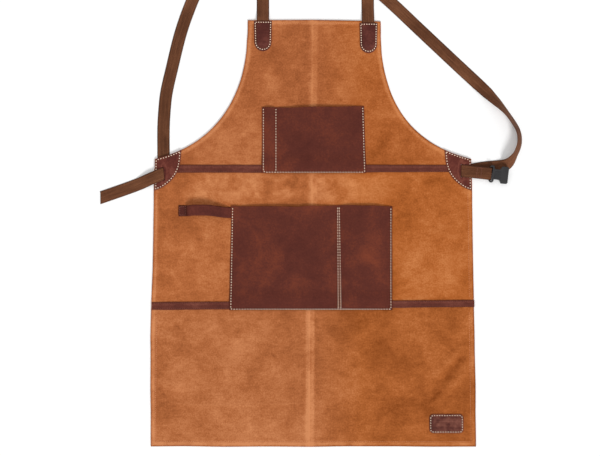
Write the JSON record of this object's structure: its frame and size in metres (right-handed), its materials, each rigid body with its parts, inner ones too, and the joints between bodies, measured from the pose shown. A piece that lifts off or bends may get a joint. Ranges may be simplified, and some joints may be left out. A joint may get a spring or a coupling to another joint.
{
  "type": "welding apron",
  "caption": "Leather welding apron laid flat: bib, waist and skirt panels, dark leather pockets, tool loop, corner patches, cross-back webbing straps and a side buckle.",
  "frame": {"origin": "middle of the waist seam on the apron's back, the face that lies on the floor", "axes": "+Y towards the bib, +Z out of the apron's front, +X towards the side with the buckle"},
  "size_m": [0.85, 1.1766, 0.025],
  "materials": {
    "suede": "split cowhide suede, tan, matt with a brushed nap",
    "dark_leather": "pull-up leather, dark reddish brown, low satin sheen",
    "webbing": "woven 25 mm strap, brown, fine ribbed weave",
    "buckle_plastic": "moulded black plastic, fine satin texture",
    "cream_thread": "thick cream sewing thread",
    "tan_thread": "fine tan sewing thread",
    "brown_thread": "dark brown sewing thread"
  },
  "bodies": {
    "apron": {"bib_panel": "suede", "waist_panel": "suede", "skirt_panel": "suede", "waist_strip": "dark_leather", "thigh_strip": "dark_leather", "chest_pocket": "dark_leather", "lower_pocket": "dark_leather", "tool_loop": "dark_leather", "left_corner_patch": "dark_leather", "right_corner_patch": "dark_leather", "left_shoulder_tab": "dark_leather", "right_shoulder_tab": "dark_leather", "label_patch": "dark_leather", "left_shoulder_strap": "webbing", "right_shoulder_strap": "webbing", "chest_pocket_thread": "cream_thread", "chest_divider_thread": "cream_thread", "lower_pocket_thread": "cream_thread", "lower_divider_left_thread": "cream_thread", "lower_divider_right_thread": "cream_thread", "left_patch_thread": "cream_thread", "right_patch_thread": "cream_thread", "left_tab_thread": "cream_thread", "right_tab_thread": "cream_thread", "label_thread": "cream_thread", "left_arm_hem_thread": "tan_thread", "right_arm_hem_thread": "tan_thread", "bib_top_hem_thread": "tan_thread", "left_waist_hem_thread": "tan_thread", "right_waist_hem_thread": "tan_thread", "skirt_hem_thread": "tan_thread", "waist_strip_upper_thread": "brown_thread", "waist_strip_lower_thread": "brown_thread", "thigh_strip_upper_thread": "brown_thread", "thigh_strip_lower_thread": "brown_thread", "tool_loop_thread": "brown_thread"},
    "left_tail": {"left_strap_tail": "webbing"},
    "right_tail": {"right_strap_tail": "webbing", "buckle_bar_tack": "brown_thread"},
    "buckle": {"buckle_receiver": "buckle_plastic"}
  },
  "joints": [
    {"name": "left_tail_fold", "type": "hinge", "parent": "apron", "child": "left_tail", "pos_m": [-0.3023, -0.0098, 0.00655], "axis": [-0.0993, 0.9951, 0], "range_deg": [0, 135]},
    {"name": "right_tail_fold", "type": "hinge", "parent": "apron", "child": "right_tail", "pos_m": [0.3001, -0.004, 0.00655], "axis": [0, -1, 0], "range_deg": [0, 135]},
    {"name": "buckle_pivot", "type": "hinge", "parent": "right_tail", "child": "buckle", "pos_m": [0.3582, -0.0102, 0.0071], "axis": [-0.1132, -0.9936, 0], "range_deg": [0, 75]}
  ]
}
